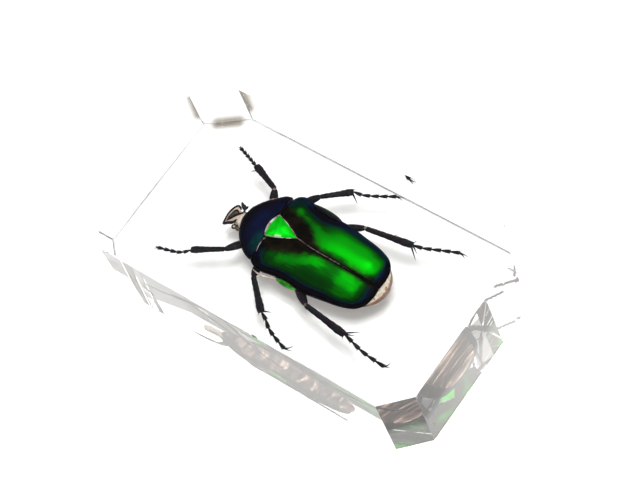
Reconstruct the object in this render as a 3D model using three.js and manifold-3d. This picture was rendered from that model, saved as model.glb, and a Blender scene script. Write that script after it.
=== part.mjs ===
// A flower chafer beetle set in a clear resin block, in millimetres, +Z up.
// The origin is at the middle of the block's underside and the beetle's head points along -X.
// The block is parted at the height of the legs, because the beetle lies in a closed pocket.

import * as THREE from "three";
import { ConvexGeometry } from "three/addons/geometries/ConvexGeometry.js";
import { mergeVertices } from "three/addons/utils/BufferGeometryUtils.js";
import Module from "manifold-3d";

const wasm = await Module();
wasm.setup();

// The block
const BLOCK_LENGTH = 73;
const BLOCK_WIDTH = 39.8;
const BLOCK_HEIGHT = 18.5;
const EDGE_BEVEL = 0.3;
const PARTING_HEIGHT = 7.6;
// Each vertical corner is cut off: how far the cut reaches along X and along Y.
const CORNER_CUTS = {
  headNear: { x: 5.6, y: 5.6 },
  tailNear: { x: 4.9, y: 4.9 },
  tailFar: { x: 5, y: 5 },
  headFar: { x: 7.9, y: 5.4 },
};

// The beetle
const AXIS_Y = 0.9;
const HEAD_Y = 0.2;
const POCKET_GAP = 0.45;
const POCKET_PLAINNESS = 0.8;
const FEWEST_SIDES = 12;
const FEWEST_RINGS = 6;
const SUTURE_DEPTH = 0.35;
const SUTURE_HALF_WIDTH = 0.7;

// Sections across the body: place along X, half width, and the heights of rim, top and belly.
const ELYTRA = [
  { x: -8.2, half: 6.5, rim: 8.3, top: 10.9, belly: 6.0 },
  { x: -6.6, half: 7.7, rim: 8.2, top: 11.5, belly: 5.0 },
  { x: -4.6, half: 8.0, rim: 8.2, top: 11.9, belly: 4.4 },
  { x: -1.8, half: 7.5, rim: 8.1, top: 12.2, belly: 4.1 },
  { x: 0.8, half: 7.5, rim: 8.0, top: 12.3, belly: 4.1 },
  { x: 3.4, half: 7.7, rim: 7.9, top: 12.2, belly: 4.3 },
  { x: 8.2, half: 7.1, rim: 7.8, top: 11.7, belly: 4.8 },
  { x: 11.4, half: 6.5, rim: 7.8, top: 11.1, belly: 5.3 },
  { x: 14.0, half: 5.5, rim: 7.8, top: 10.4, belly: 6.0 },
  { x: 15.6, half: 4.0, rim: 7.9, top: 9.7, belly: 6.6 },
  { x: 16.5, half: 2.2, rim: 8.0, top: 9.0, belly: 7.0 },
];
const PYGIDIUM = [
  { x: 13.6, half: 5.2, rim: 7.2, top: 8.6, belly: 5.0 },
  { x: 15.6, half: 4.2, rim: 7.1, top: 8.4, belly: 5.0 },
  { x: 17.2, half: 2.8, rim: 6.8, top: 7.8, belly: 5.4 },
  { x: 18.1, half: 1.2, rim: 6.6, top: 7.0, belly: 6.0 },
];
const PRONOTUM = [
  { x: -13.9, half: 2.4, rim: 7.6, top: 9.3, belly: 5.6 },
  { x: -12.7, half: 4.0, rim: 7.6, top: 10.0, belly: 5.2 },
  { x: -11.2, half: 5.5, rim: 7.7, top: 10.7, belly: 4.8 },
  { x: -9.8, half: 6.4, rim: 7.8, top: 11.2, belly: 4.6 },
  { x: -8.4, half: 6.8, rim: 7.9, top: 11.5, belly: 4.6 },
  { x: -7.5, half: 6.3, rim: 8.0, top: 11.4, belly: 4.8 },
];
const HEAD = [
  { x: -17.4, half: 2.0, rim: 7.0, top: 7.3, belly: 6.6 },
  { x: -16.9, half: 2.15, rim: 7.0, top: 7.5, belly: 6.2 },
  { x: -16.0, half: 1.75, rim: 7.0, top: 8.0, belly: 5.9 },
  { x: -15.0, half: 1.8, rim: 7.1, top: 8.6, belly: 5.7 },
  { x: -13.2, half: 2.2, rim: 7.3, top: 9.1, belly: 5.7 },
];
const EYE = { x: -14.9, side: 1.6, z: 7.4, radius: 0.75 };
const ANTENNA = { root: [-16.2, 1.6, 6.9], bend: [-15.6, 2.6, 7.1], tip: [-17.0, 3.0, 7.3] };

// The scutellum is a flat triangle that stands a little above the elytra.
const SCUTELLUM = { base: -7.6, apex: -1.6, halfWidth: 2.5, bottom: 9.5, top: 12.3 };

// Each leg is bent its own way: hip, knee, ankle, points of the foot, spur tips and tooth tips.
const LEGS = [
  {
    hip: [-10.6, -2.6, 6.6], knee: [-13.5, -6.7, 8.0], ankle: [-19.2, -9.9, 7.6],
    foot: [[-20.7, -11.3, 7.5], [-23.5, -12.1, 7.4], [-25.1, -12.5, 7.3]],
    claws: [[-25.9, -12.3, 7.1], [-25.7, -13.1, 7.1]],
    points: [],
  },
  {
    hip: [-11.4, 5.2, 6.6], knee: [-12.8, 8.0, 8.0], ankle: [-19.1, 10.4, 7.6],
    foot: [[-20.2, 10.8, 7.5], [-22.2, 11.5, 7.5], [-24.0, 12.1, 7.3]],
    claws: [[-24.7, 12.0, 7.1], [-24.4, 12.7, 7.1]],
    points: [{ from: [-18.0, 9.9, 7.7], to: [-19.2, 9.0, 7.6] }],
  },
  {
    hip: [-7.0, 8.0, 6.6], knee: [-4.3, 10.9, 7.9], ankle: [0.5, 14.8, 7.6],
    foot: [[1.8, 14.9, 7.5], [4.5, 16.0, 7.4], [7.9, 17.8, 7.3]],
    claws: [[9.4, 17.7, 7.1], [9.2, 18.3, 7.1]],
    points: [
      { from: [0.4, 14.5, 7.6], to: [2.4, 13.2, 7.2] },
      { from: [0.0, 14.4, 7.6], to: [0.4, 15.5, 7.5] },
    ],
  },
  {
    hip: [1.6, 7.0, 6.8], knee: [6.9, 9.6, 7.9], ankle: [16.5, 11.0, 7.8],
    foot: [[18.2, 11.3, 7.7], [20.6, 12.3, 7.5], [24.6, 13.9, 7.3]],
    claws: [[26.0, 13.4, 7.1], [26.3, 14.0, 7.1]],
    points: [
      { from: [16.2, 10.8, 7.8], to: [18.5, 8.8, 7.4] },
      { from: [16.3, 11.1, 7.8], to: [18.0, 10.0, 7.4] },
      { from: [12.0, 10.3, 7.8], to: [12.8, 11.4, 7.7] },
      { from: [16.0, 11.0, 7.8], to: [16.6, 12.0, 7.7] },
    ],
  },
  {
    hip: [-6.6, -5.4, 6.4], knee: [-5.5, -8.4, 7.9], ankle: [0.1, -13.5, 7.6],
    foot: [[1.3, -14.1, 7.6], [3.4, -15.6, 7.5], [7.9, -17.2, 7.4]],
    claws: [[9.1, -15.9, 7.1], [9.3, -16.8, 7.1]],
    points: [
      { from: [0.0, -13.3, 7.6], to: [1.7, -12.6, 7.4] },
      { from: [-0.3, -13.3, 7.6], to: [-0.1, -14.4, 7.6] },
    ],
  },
  {
    hip: [2.0, -5.6, 6.6], knee: [6.4, -8.4, 7.9], ankle: [16.0, -9.6, 7.8],
    foot: [[18.4, -10.2, 7.7], [20.9, -10.8, 7.5], [25.5, -11.1, 7.3]],
    claws: [[26.1, -9.8, 7.1], [26.5, -10.6, 7.1]],
    points: [
      { from: [15.8, -9.4, 7.8], to: [18.1, -7.8, 7.5] },
      { from: [15.9, -9.6, 7.8], to: [17.6, -8.9, 7.5] },
      { from: [15.6, -9.5, 7.8], to: [16.1, -10.6, 7.8] },
    ],
  },
];
const FEMUR = { hip: 1.1, knee: 0.75 };
const TIBIA = { knee: 0.5, ankle: 0.65 };
const FOOT = { joints: 5, narrow: 0.26, wide: 0.4 };
const POCKET_FOOT_JOINTS = 2;
const CLAW = { root: 0.2, tip: 0.09 };
const POINT = { root: 0.26, tip: 0.1 };
const LEG_SIDES = 6;
const THIN_SIDES = 5;

const vector = ([x, y, z]) => new THREE.Vector3(x, y, z);

// A closed three.js geometry as a solid that can be joined and cut.
function solid(geometry) {
  geometry.deleteAttribute("normal");
  geometry.deleteAttribute("uv");
  const merged = mergeVertices(geometry);
  const vertProperties = new Float32Array(merged.attributes.position.array);
  const triVerts = new Uint32Array(merged.index.array);
  return new wasm.Manifold(new wasm.Mesh({ numProp: 3, vertProperties, triVerts }));
}

function join(solids) {
  return solids.reduce((whole, piece) => whole.add(piece));
}

// The width and heights of the body at x, between the sections on either side.
function sectionAt(sections, x) {
  const last = sections.length - 1;
  const next = Math.min(Math.max(sections.findIndex((section) => section.x >= x), 1), last);
  const a = sections[x > sections[last].x ? last : next - 1];
  const b = sections[x > sections[last].x ? last : next];
  const share = a === b ? 0 : THREE.MathUtils.clamp((x - a.x) / (b.x - a.x), 0, 1);
  const mix = (key) => THREE.MathUtils.lerp(a[key], b[key], share);
  return { half: mix("half"), rim: mix("rim"), top: mix("top"), belly: mix("belly") };
}

// A rounded body form: a sphere's rings, each set to the body's section at its place along X.
// The pocket is plainer: it has fewer faces and no groove along the suture.
function form(sections, { y = AXIS_Y, sides, rings, grow, fullness = 1, groove = 0 }) {
  const plainness = grow > 0 ? POCKET_PLAINNESS : 1;
  const sidesMade = Math.max(2 * Math.floor((sides * plainness) / 2), FEWEST_SIDES);
  const ringsMade = Math.max(Math.floor(rings * plainness), FEWEST_RINGS);
  const geometry = new THREE.SphereGeometry(1, sidesMade, ringsMade);
  const points = geometry.attributes.position;
  const start = sections[0].x - grow;
  const length = sections[sections.length - 1].x + grow - start;
  for (let i = 0; i < points.count; i += 1) {
    const along = points.getY(i);
    const x = start + (length * (1 - along)) / 2;
    const { half, rim, top, belly } = sectionAt(sections, x);
    const pole = Math.abs(along) > 1 - 1e-6;
    const turn = Math.atan2(points.getZ(i), points.getX(i));
    const across = pole ? 0 : Math.sign(Math.cos(turn)) * Math.abs(Math.cos(turn)) ** fullness;
    const up = pole ? 0 : Math.sign(Math.sin(turn)) * Math.abs(Math.sin(turn)) ** fullness;
    const side = across * (half + grow);
    const dent = up > 0 && grow === 0 ? groove * Math.exp(-((side / SUTURE_HALF_WIDTH) ** 2)) : 0;
    const height = up > 0 ? top - rim + grow - dent : rim - belly + grow;
    points.setXYZ(i, x, y + side, rim + up * height);
  }
  return solid(geometry);
}

// A tapered rod from one point to another, longer by the gap at both ends in the pocket.
function rod(from, to, fromRadius, toRadius, grow, sides = LEG_SIDES) {
  const a = vector(from);
  const b = vector(to);
  const direction = b.clone().sub(a).normalize();
  const length = a.distanceTo(b) + 2 * grow;
  const geometry = new THREE.CylinderGeometry(toRadius + grow, fromRadius + grow, length, sides);
  geometry.applyQuaternion(new THREE.Quaternion().setFromUnitVectors(new THREE.Vector3(0, 1, 0), direction));
  const middle = a.add(b).multiplyScalar(0.5);
  geometry.translate(middle.x, middle.y, middle.z);
  return solid(geometry);
}

// The foot's joints widen towards their far ends; in the pocket the foot is one row of plain rods.
function foot(leg, grow) {
  const route = new THREE.CatmullRomCurve3([leg.ankle, ...leg.foot].map(vector));
  const joints = grow > 0 ? POCKET_FOOT_JOINTS : FOOT.joints;
  const places = route.getSpacedPoints(joints).map((point) => point.toArray());
  const narrow = grow > 0 ? FOOT.wide : FOOT.narrow;
  return places.slice(1).map((place, i) => rod(places[i], place, narrow, FOOT.wide, grow, THIN_SIDES));
}

function legParts(leg, grow) {
  const end = leg.foot[leg.foot.length - 1];
  return [
    rod(leg.hip, leg.knee, FEMUR.hip, FEMUR.knee, grow),
    rod(leg.knee, leg.ankle, TIBIA.knee, TIBIA.ankle, grow),
    ...leg.points.map(({ from, to }) => rod(from, to, POINT.root, POINT.tip, grow, THIN_SIDES)),
    ...foot(leg, grow),
    ...leg.claws.map((claw) => rod(end, claw, CLAW.root, CLAW.tip, grow, THIN_SIDES)),
  ];
}

function scutellum(grow) {
  const { base, apex, halfWidth, bottom, top } = SCUTELLUM;
  const outline = new THREE.Shape();
  outline.moveTo(base - grow, AXIS_Y - halfWidth - grow);
  outline.lineTo(apex + 2 * grow, AXIS_Y);
  outline.lineTo(base - grow, AXIS_Y + halfWidth + grow);
  const geometry = new THREE.ExtrudeGeometry(outline, { depth: top + grow - bottom, bevelEnabled: false });
  geometry.translate(0, 0, bottom);
  return solid(geometry);
}

function eyes(grow) {
  return [-1, 1].map((side) => {
    const ball = new THREE.SphereGeometry(EYE.radius + grow, 8, 6);
    ball.translate(EYE.x, HEAD_Y + side * EYE.side, EYE.z);
    return solid(ball);
  });
}

// The whole beetle; grown by the gap all over, it is the pocket that it lies in.
function beetle(grow) {
  return join([
    form(ELYTRA, { grow, sides: 22, rings: 13, fullness: 0.85, groove: SUTURE_DEPTH }),
    form(PYGIDIUM, { grow, sides: FEWEST_SIDES, rings: FEWEST_RINGS }),
    form(PRONOTUM, { grow, sides: 18, rings: 10, fullness: 0.9 }),
    form(HEAD, { y: HEAD_Y, grow, sides: FEWEST_SIDES, rings: 8, fullness: 0.7 }),
    scutellum(grow),
    ...eyes(grow),
    rod(ANTENNA.root, ANTENNA.bend, POINT.root, POINT.root, grow, THIN_SIDES),
    rod(ANTENNA.bend, ANTENNA.tip, POINT.root, POINT.tip, grow, THIN_SIDES),
    ...LEGS.flatMap((leg) => legParts(leg, grow)),
  ]);
}

// The block's outline drawn in by an inset, with its four corners cut off.
function outlineAt(height, inset) {
  const halfX = BLOCK_LENGTH / 2 - inset;
  const halfY = BLOCK_WIDTH / 2 - inset;
  const slant = inset * (2 - Math.SQRT2);
  const corners = [
    [-1, -1, CORNER_CUTS.headNear],
    [1, -1, CORNER_CUTS.tailNear],
    [1, 1, CORNER_CUTS.tailFar],
    [-1, 1, CORNER_CUTS.headFar],
  ];
  return corners.flatMap(([sideX, sideY, cut]) => [
    new THREE.Vector3(sideX * (halfX - cut.x + slant), sideY * halfY, height),
    new THREE.Vector3(sideX * halfX, sideY * (halfY - cut.y + slant), height),
  ]);
}

function block() {
  const points = [
    ...outlineAt(0, EDGE_BEVEL),
    ...outlineAt(EDGE_BEVEL, 0),
    ...outlineAt(BLOCK_HEIGHT - EDGE_BEVEL, 0),
    ...outlineAt(BLOCK_HEIGHT, EDGE_BEVEL),
  ];
  return solid(new ConvexGeometry(points));
}

// A box wider than the block, from one height to another.
function slab(bottom, top) {
  const geometry = new THREE.BoxGeometry(2 * BLOCK_LENGTH, 2 * BLOCK_WIDTH, top - bottom);
  geometry.translate(0, 0, (bottom + top) / 2);
  return solid(geometry);
}

function mesh(name, shape, material) {
  const { vertProperties, triVerts } = shape.getMesh();
  const geometry = new THREE.BufferGeometry();
  geometry.setAttribute("position", new THREE.BufferAttribute(new Float32Array(vertProperties), 3));
  geometry.setIndex(new THREE.BufferAttribute(new Uint32Array(triVerts), 1));
  geometry.computeVertexNormals();
  const piece = new THREE.Mesh(geometry, new THREE.MeshStandardMaterial(material));
  piece.name = name;
  return piece;
}

const CLEAR_RESIN = { color: 0xf2f5f2, roughness: 0.05, metalness: 0, transparent: true, opacity: 0.3 };
const GREEN_SHELL = { color: 0x0a8c2e, roughness: 0.3, metalness: 0.5 };

const resin = block().subtract(beetle(POCKET_GAP));
const part = new THREE.Group();
part.add(
  mesh("resin_base", resin.intersect(slab(-BLOCK_HEIGHT, PARTING_HEIGHT)), CLEAR_RESIN),
  mesh("resin_top", resin.intersect(slab(PARTING_HEIGHT, 2 * BLOCK_HEIGHT)), CLEAR_RESIN),
  mesh("beetle", beetle(0), GREEN_SHELL),
);

export default part;
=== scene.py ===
"""A flower chafer beetle cast in a clear resin block: looks, stage, light and camera.

Shapes are worked out in millimetres in the frame of the CAD model: X along the block from the
beetle's head to its tail, Y across towards the beetle's right side, Z up from the block's underside.
"""

import math

import bpy
import numpy as np
from mathutils import Matrix, Vector


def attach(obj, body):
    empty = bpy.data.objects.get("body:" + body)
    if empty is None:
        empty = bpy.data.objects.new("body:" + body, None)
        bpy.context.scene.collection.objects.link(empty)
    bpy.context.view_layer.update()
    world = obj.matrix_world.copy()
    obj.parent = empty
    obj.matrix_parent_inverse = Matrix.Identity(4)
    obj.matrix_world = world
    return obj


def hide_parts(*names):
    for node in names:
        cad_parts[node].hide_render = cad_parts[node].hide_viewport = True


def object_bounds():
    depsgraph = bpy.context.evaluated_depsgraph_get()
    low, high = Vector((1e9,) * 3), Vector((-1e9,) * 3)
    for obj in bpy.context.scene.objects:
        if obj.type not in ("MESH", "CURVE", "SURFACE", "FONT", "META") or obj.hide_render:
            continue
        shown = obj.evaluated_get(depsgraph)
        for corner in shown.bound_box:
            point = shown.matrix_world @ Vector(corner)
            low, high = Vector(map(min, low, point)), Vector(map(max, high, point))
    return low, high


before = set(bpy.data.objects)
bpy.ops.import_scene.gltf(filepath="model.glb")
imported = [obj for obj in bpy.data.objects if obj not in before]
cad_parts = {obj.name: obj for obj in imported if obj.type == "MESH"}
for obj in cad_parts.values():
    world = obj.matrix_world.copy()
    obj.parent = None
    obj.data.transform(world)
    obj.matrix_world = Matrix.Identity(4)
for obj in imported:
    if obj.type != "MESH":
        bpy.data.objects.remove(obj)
cad_low, cad_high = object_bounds()

MM = 0.001
BLOCK_LOW, BLOCK_HIGH = (np.array(corner) / MM for corner in (cad_low, cad_high))

# ---------------------------------------------------------------- sizes, in millimetres
EDGE_BEVEL = 0.18
# What each corner cut takes off the sides along X and along Y, by the signs of the corner's place.
CORNER_CUTS = {(-1, -1): (5.6, 5.6), (1, -1): (4.9, 4.9), (1, 1): (5.0, 5.0), (-1, 1): (7.9, 5.4)}

# The body lies beside the block's middle line, and the pronotum is turned a little.
AXIS_Y = 0.9
FORE_PIVOT_X = -7.5
FORE_TURN = math.radians(4.5)
HEAD_Y = 0.0

# Sections across the body: place along X, half width, and the heights of rim, top and belly.
ELYTRA = [
    (-8.2, 6.7, 8.3, 10.9, 6.0),
    (-7.4, 7.4, 8.2, 11.3, 5.4),
    (-6.2, 7.85, 8.2, 11.6, 4.9),
    (-4.8, 7.95, 8.2, 11.9, 4.4),
    (-3.2, 7.65, 8.1, 12.1, 4.2),
    (-1.4, 7.45, 8.1, 12.2, 4.1),
    (0.6, 7.45, 8.0, 12.3, 4.1),
    (3.4, 7.65, 7.9, 12.2, 4.3),
    (5.8, 7.45, 7.8, 12.0, 4.5),
    (8.2, 7.1, 7.8, 11.7, 4.8),
    (11.4, 6.6, 7.8, 11.1, 5.3),
    (14.0, 5.8, 7.8, 10.4, 6.0),
    (15.3, 4.8, 7.85, 9.85, 6.4),
    (16.1, 3.4, 7.9, 9.4, 6.8),
    (16.5, 1.5, 8.0, 8.9, 7.0),
]
TRUNK = [
    (-13.2, 2.6, 7.0, 8.4, 5.8),
    (-11.4, 4.4, 7.1, 9.0, 5.0),
    (-9.4, 5.8, 7.2, 9.6, 4.7),
    (-6.6, 6.9, 7.4, 10.0, 4.6),
    (-4.0, 7.2, 7.4, 10.4, 4.3),
    (-1.5, 7.4, 7.3, 10.6, 4.15),
    (1.0, 7.5, 7.2, 10.8, 4.15),
    (3.4, 7.1, 7.2, 10.6, 4.3),
    (8.2, 6.6, 7.1, 10.0, 4.8),
    (11.4, 6.0, 7.0, 9.4, 5.1),
    (14.0, 5.2, 7.0, 8.8, 5.1),
    (16.0, 3.9, 7.0, 8.4, 5.2),
    (17.1, 2.6, 6.8, 7.8, 5.5),
    (17.65, 1.2, 6.6, 7.0, 6.0),
]
PRONOTUM = [
    (-14.3, 1.3, 7.9, 8.8, 6.6),
    (-13.6, 2.9, 7.8, 9.5, 6.0),
    (-12.5, 4.4, 7.7, 10.2, 5.4),
    (-11.2, 5.6, 7.7, 10.8, 5.0),
    (-9.8, 6.5, 7.8, 11.3, 4.8),
    (-8.6, 6.85, 7.9, 11.6, 4.8),
    (-7.7, 6.8, 8.0, 11.6, 5.0),
]
HEAD = [
    (-16.4, 1.5, 6.9, 7.5, 5.9),
    (-15.6, 1.3, 7.0, 7.9, 5.6),
    (-14.8, 1.35, 7.1, 8.5, 5.5),
    (-13.2, 2.2, 7.3, 9.0, 5.7),
]
SCUTELLUM = {"base": -7.4, "apex": -1.65, "half": 2.35, "top": 12.05, "y": 0.95}
SEAM_Y = 0.55
MOUTH = (-15.35, -1.75, 6.5)
# Places along X of the seams between the plates of the underside.
UNDERSIDE_SEAMS = [-9.6, -6.9, -1.2, 3.6, 6.0, 8.3, 10.5, 12.6, 14.7]

# Angles of the lamp and of the two places in the sky are in degrees.
LAMP_POWER, LAMP_ANGLE = 1.12, 18
LAMP_WAY = (-0.06, -0.11, -1.0)
SKY_LIGHT, SKY_DIM_LIGHT, SOFTBOX_LIGHT = 0.34, 0.14, 1.1
SKY_DIM_WAY, SKY_DIM_ANGLES = (-0.446, 0.284, 0.849), (10, 22)
SOFTBOX_WAY, SOFTBOX_ANGLES = (-0.446, -0.284, 0.849), (12, 17)
# The floor's own light: all over it, outside the block, more of it towards the tail and the right,
# in a strip along two of the block's faces, and under the beetle's body. A fade is a pair of distances.
GLOW_COLOUR = (1, 0.975, 0.93, 1)
TABLE_GLOW, FLOOR_GLOW, FLOOR_FADE = 0.19, 0.8, (-0.4, 0.6)
RIGHT_GLOW, RIGHT_FADE_X, RIGHT_FADE_Y = 1.1, 14, (-14, 5)
STRIP_GLOW, STRIP_FADE = 1.2, (4.6, 2.8)
BELLY_GLOW, BELLY_FADE, BELLY_LINE = 2.2, (5.0, 2.5), ((-6.0, 0.9), (8.5, 0.9))
FLOOR_SIZE, FLOOR_GAP = 4000, 0.2
# The floor's colour, and a dark brown-grey spot under the block's far left corner: its colour, line and
# fade.
FLOOR_COLOUR, DARK_SPOT_COLOUR = (0.9, 0.9, 0.9), (0.3, 0.26, 0.21)
DARK_SPOT_LINE, DARK_SPOT_FADE = ((-34.2, 15.95), (-30.8, 18.3)), (1.9, 0.2)
BLACK_LEVEL = 0.002

CAMERA_PLACE = (170.67, -104.52, 335.03)
CAMERA_TARGET = (-0.55, 4.51, 9.2)
CAMERA_ROLL = math.radians(-24.84)
SENSOR_WIDTH, FOCAL_LENGTH = 36, 118.8

# Each leg is bent its own way. Its points are spurs and teeth, each from its root to its tip.
LEGS = {
    "front_left": {
        "hip": (-10.6, -2.6, 6.6), "knee": (-13.5, -6.7, 8.0), "ankle": (-19.2, -9.9, 7.6),
        "foot": [(-20.7, -11.3, 7.5), (-23.5, -12.1, 7.4), (-25.1, -12.5, 7.3)],
        "claws": [(-25.9, -12.3, 7.1), (-25.7, -13.1, 7.1)],
        "points": [],
    },
    "front_right": {
        "hip": (-11.4, 5.2, 6.6), "knee": (-12.8, 8.0, 8.0), "ankle": (-19.1, 10.4, 7.6),
        "foot": [(-20.2, 10.8, 7.5), (-22.2, 11.5, 7.5), (-24.0, 12.1, 7.3)],
        "claws": [(-24.7, 12.0, 7.1), (-24.4, 12.7, 7.1)],
        "points": [((-18.0, 9.9, 7.7), (-19.2, 9.0, 7.6))],
    },
    "middle_right": {
        "hip": (-7.0, 8.0, 6.6), "knee": (-4.3, 10.9, 7.9), "ankle": (0.5, 14.8, 7.6),
        "foot": [(1.8, 14.9, 7.5), (4.5, 16.0, 7.4), (7.9, 17.8, 7.3)],
        "claws": [(9.4, 17.7, 7.1), (9.2, 18.3, 7.1)],
        "points": [((0.4, 14.5, 7.6), (2.4, 13.2, 7.2)), ((0.0, 14.4, 7.6), (0.4, 15.5, 7.5))],
    },
    "hind_right": {
        "hip": (1.6, 7.0, 6.8), "knee": (6.9, 9.6, 7.9), "ankle": (16.5, 11.0, 7.8),
        "foot": [(18.2, 11.3, 7.7), (20.6, 12.3, 7.5), (24.6, 13.9, 7.3)],
        "claws": [(26.0, 13.4, 7.1), (26.3, 14.0, 7.1)],
        "points": [
            ((16.2, 10.8, 7.8), (18.5, 8.8, 7.4)),
            ((16.3, 11.1, 7.8), (18.0, 10.0, 7.4)),
            ((12.0, 10.3, 7.8), (12.8, 11.4, 7.7)),
            ((16.0, 11.0, 7.8), (16.6, 12.0, 7.7)),
        ],
    },
    "middle_left": {
        "hip": (-6.6, -5.4, 6.4), "knee": (-5.5, -8.4, 7.9), "ankle": (0.1, -13.5, 7.6),
        "foot": [(1.3, -14.1, 7.6), (3.4, -15.6, 7.5), (7.9, -17.2, 7.4)],
        "claws": [(9.1, -15.9, 7.1), (9.3, -16.8, 7.1)],
        "points": [((0.0, -13.3, 7.6), (1.7, -12.6, 7.4)), ((-0.3, -13.3, 7.6), (-0.1, -14.4, 7.6))],
    },
    "hind_left": {
        "hip": (2.0, -5.6, 6.6), "knee": (6.4, -8.4, 7.9), "ankle": (16.0, -9.6, 7.8),
        "foot": [(18.4, -10.2, 7.7), (20.9, -10.8, 7.5), (25.5, -11.1, 7.3)],
        "claws": [(26.1, -9.8, 7.1), (26.5, -10.6, 7.1)],
        "points": [
            ((15.8, -9.4, 7.8), (18.1, -7.8, 7.5)),
            ((15.9, -9.6, 7.8), (17.6, -8.9, 7.5)),
            ((15.6, -9.5, 7.8), (16.1, -10.6, 7.8)),
        ],
    },
}


# ---------------------------------------------------------------- curves and meshes
def through(xs, ys):
    """A smooth function that runs through the points and never swings past them."""
    xs, ys = np.asarray(xs, float), np.asarray(ys, float)
    steps = np.diff(ys) / np.diff(xs)
    slopes = np.empty_like(ys)
    slopes[0], slopes[-1] = steps[0], steps[-1]
    same_way = steps[:-1] * steps[1:] > 0
    harmonic = 2 * steps[:-1] * steps[1:] / np.where(same_way, steps[:-1] + steps[1:], 1)
    slopes[1:-1] = np.where(same_way, harmonic, 0)

    def at(x):
        x = np.clip(x, xs[0], xs[-1])
        i = np.clip(np.searchsorted(xs, x) - 1, 0, len(xs) - 2)
        width = xs[i + 1] - xs[i]
        t = (x - xs[i]) / width
        return (
            ys[i] * (1 + 2 * t) * (1 - t) ** 2
            + slopes[i] * width * t * (1 - t) ** 2
            + ys[i + 1] * t**2 * (3 - 2 * t)
            + slopes[i + 1] * width * t**2 * (t - 1)
        )

    return at


def sections(table):
    """Half width, rim, top and belly heights as smooth functions of the place along X."""
    xs = [row[0] for row in table]
    return [through(xs, [row[k] for row in table]) for k in range(1, 5)]


def closed(rings):
    """A closed form from rings of points; its first and last rings are drawn together in a point."""
    rings = np.asarray(rings, float)
    count, around = rings.shape[:2]
    first, last = rings[0].mean(axis=0), rings[-1].mean(axis=0)
    points = np.vstack([first, rings.reshape(-1, 3), last])
    faces = []
    for k in range(around):
        after = (k + 1) % around
        faces.append((0, 1 + after, 1 + k))
        for i in range(count - 1):
            a, b = 1 + i * around, 1 + (i + 1) * around
            faces.append((a + k, a + after, b + after, b + k))
        end = 1 + (count - 1) * around
        faces.append((end + k, end + after, len(points) - 1))
    return points, faces


def power(value, exponent):
    """The power of the value's size, with the value's sign."""
    return np.sign(value) * np.abs(value) ** exponent


def cosine_steps(start, end, count):
    """Places from start to end that are closer together near both ends."""
    return start + (end - start) * (1 - np.cos(np.linspace(0, math.pi, count))) / 2


def swell(x, middle, width):
    """1 at the middle, falling smoothly to about a third at the width and to nothing beyond it."""
    return np.exp(-(((x - middle) / width) ** 2))


def body_form(table, y, rings=60, around=72, fullness=1.0, relief=None):
    """A rounded form whose cross sections follow the table, squarer with a fullness under 1.

    relief(x, side, up) is added to the heights.
    """
    half, rim, top, belly = sections(table)
    turn = np.linspace(0, 2 * math.pi, around, endpoint=False)
    across, up = power(np.cos(turn), fullness), power(np.sin(turn), fullness)
    made = []
    for x in cosine_steps(table[0][0], table[-1][0], rings):
        high = np.where(up > 0, top(x) - rim(x), rim(x) - belly(x))
        side = across * half(x)
        z = rim(x) + up * high
        if relief is not None:
            z = z + relief(np.full_like(side, x), side, up)
        made.append(np.stack([np.full_like(side, x), y + side, z], axis=1))
    return closed(made)


def spline(points, count):
    """Points evenly spaced along a smooth curve through the given ones."""
    points = np.asarray(points, float)
    along = np.concatenate([[0], np.cumsum(np.linalg.norm(np.diff(points, axis=0), axis=1))])
    places = np.linspace(0, along[-1], count)
    return np.stack([through(along, points[:, k])(places) for k in range(3)], axis=1)


def tube(route, radii, around=12, flat=1.0, ridges=0.0):
    """A closed tube along a route. flat squeezes it in height; ridges gives it that much of an edge."""
    route = np.asarray(route, float)
    radii = np.broadcast_to(np.asarray(radii, float), (len(route),))
    ways = np.gradient(route, axis=0)
    ways /= np.linalg.norm(ways, axis=1, keepdims=True)
    turn = np.linspace(0, 2 * math.pi, around, endpoint=False)
    made = []
    for point, way, radius in zip(route, ways, radii):
        side = np.cross(way, (0, 0, 1))
        side /= np.linalg.norm(side)
        up = np.cross(side, way)
        size = radius * (1 + ridges * np.cos(3 * turn))
        made.append(
            point
            + np.outer(size * np.cos(turn), side)
            + np.outer(size * np.sin(turn) * flat, up)
        )
    return closed(made)


def ball(centre, radii, around=28, rings=18):
    """An ellipsoid."""
    turn = np.linspace(0, 2 * math.pi, around, endpoint=False)
    made = []
    for lean in np.linspace(0, math.pi, rings + 2)[1:-1]:
        ring = np.stack(
            [
                np.full(around, -math.cos(lean)),
                math.sin(lean) * np.cos(turn),
                math.sin(lean) * np.sin(turn),
            ],
            axis=1,
        )
        made.append(np.asarray(centre) + ring * np.asarray(radii))
    return closed(made)


def turned(form, angle, pivot_x, pivot_y):
    """The form turned about an upright axis."""
    points, faces = form
    offset = points[:, :2] - (pivot_x, pivot_y)
    c, s = math.cos(angle), math.sin(angle)
    moved = points.copy()
    moved[:, 0] = pivot_x + c * offset[:, 0] - s * offset[:, 1]
    moved[:, 1] = pivot_y + s * offset[:, 0] + c * offset[:, 1]
    return moved, faces


def piece(name, forms, material, slot, *nodes):
    """One object made of closed forms, riding on the part and standing for the CAD nodes."""
    points, faces = [], []
    for form_points, form_faces in forms:
        start = len(points)
        points.extend((form_points * MM).tolist())
        faces.extend([tuple(start + i for i in face) for face in form_faces])
    mesh = bpy.data.meshes.new(name)
    mesh.from_pydata(points, [], faces)
    mesh.validate()
    mesh.shade_smooth()
    made = bpy.data.objects.new(name, mesh)
    bpy.context.scene.collection.objects.link(made)
    made.data.materials.append(material)
    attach(made, "root")
    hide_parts(*nodes)
    return made


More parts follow.
